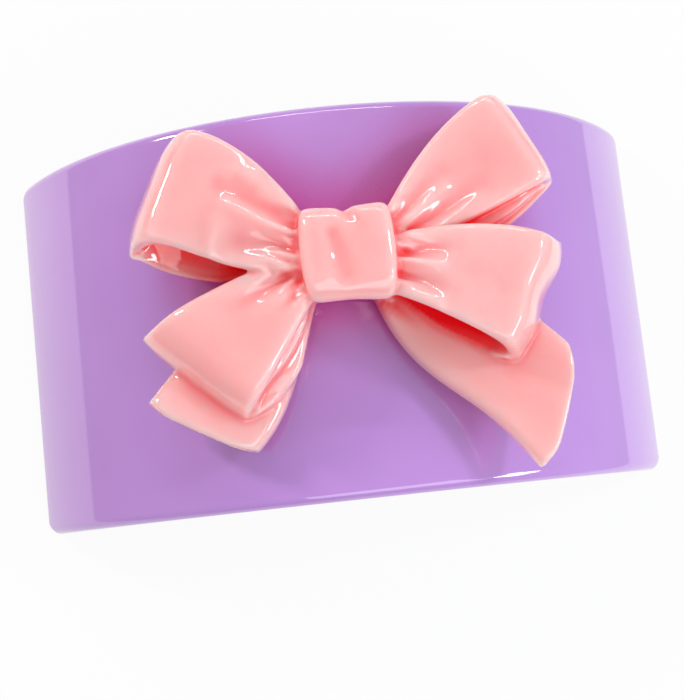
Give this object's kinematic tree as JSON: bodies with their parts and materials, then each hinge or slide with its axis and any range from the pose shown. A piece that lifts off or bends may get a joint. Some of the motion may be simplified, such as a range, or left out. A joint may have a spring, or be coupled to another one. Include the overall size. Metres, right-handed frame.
{
  "type": "alligator hair clip",
  "caption": "Arched plastic hair clip with a cast resin ribbon bow on its face and a sprung steel toothed clip inside the arch.",
  "frame": {"origin": "middle of the plane that the two ends of the arch stand on", "axes": "+Z out of the face through the bow, +Y along the arch towards the top of the bow, +X across the arch"},
  "size_m": [0.06, 0.0344, 0.0288],
  "materials": {
    "lilac_plastic": "glossy moulded plastic",
    "pink_resin": "glossy cast resin, slightly translucent",
    "clear_glue": "set glue",
    "nickel_steel": "nickel-plated stamped sheet",
    "spring_wire": "drawn spring wire"
  },
  "bodies": {
    "clip_body": {"front_plate": "lilac_plastic", "resin_bow": "pink_resin", "bow_glue": "clear_glue", "arm_glue": "clear_glue", "upper_arm": "nickel_steel", "hinge_pin": "nickel_steel", "torsion_spring": "spring_wire"},
    "jaw_body": {"jaw": "nickel_steel"}
  },
  "joints": [
    {"name": "jaw_hinge", "type": "hinge", "parent": "clip_body", "child": "jaw_body", "pos_m": [0, 0.004, 0.01247], "axis": [1, 0, 0], "range_deg": [0, 30], "stiffness_Nm_per_rad": 0.012, "springref_deg": -34.38, "deforming": ["torsion_spring"]}
  ]
}
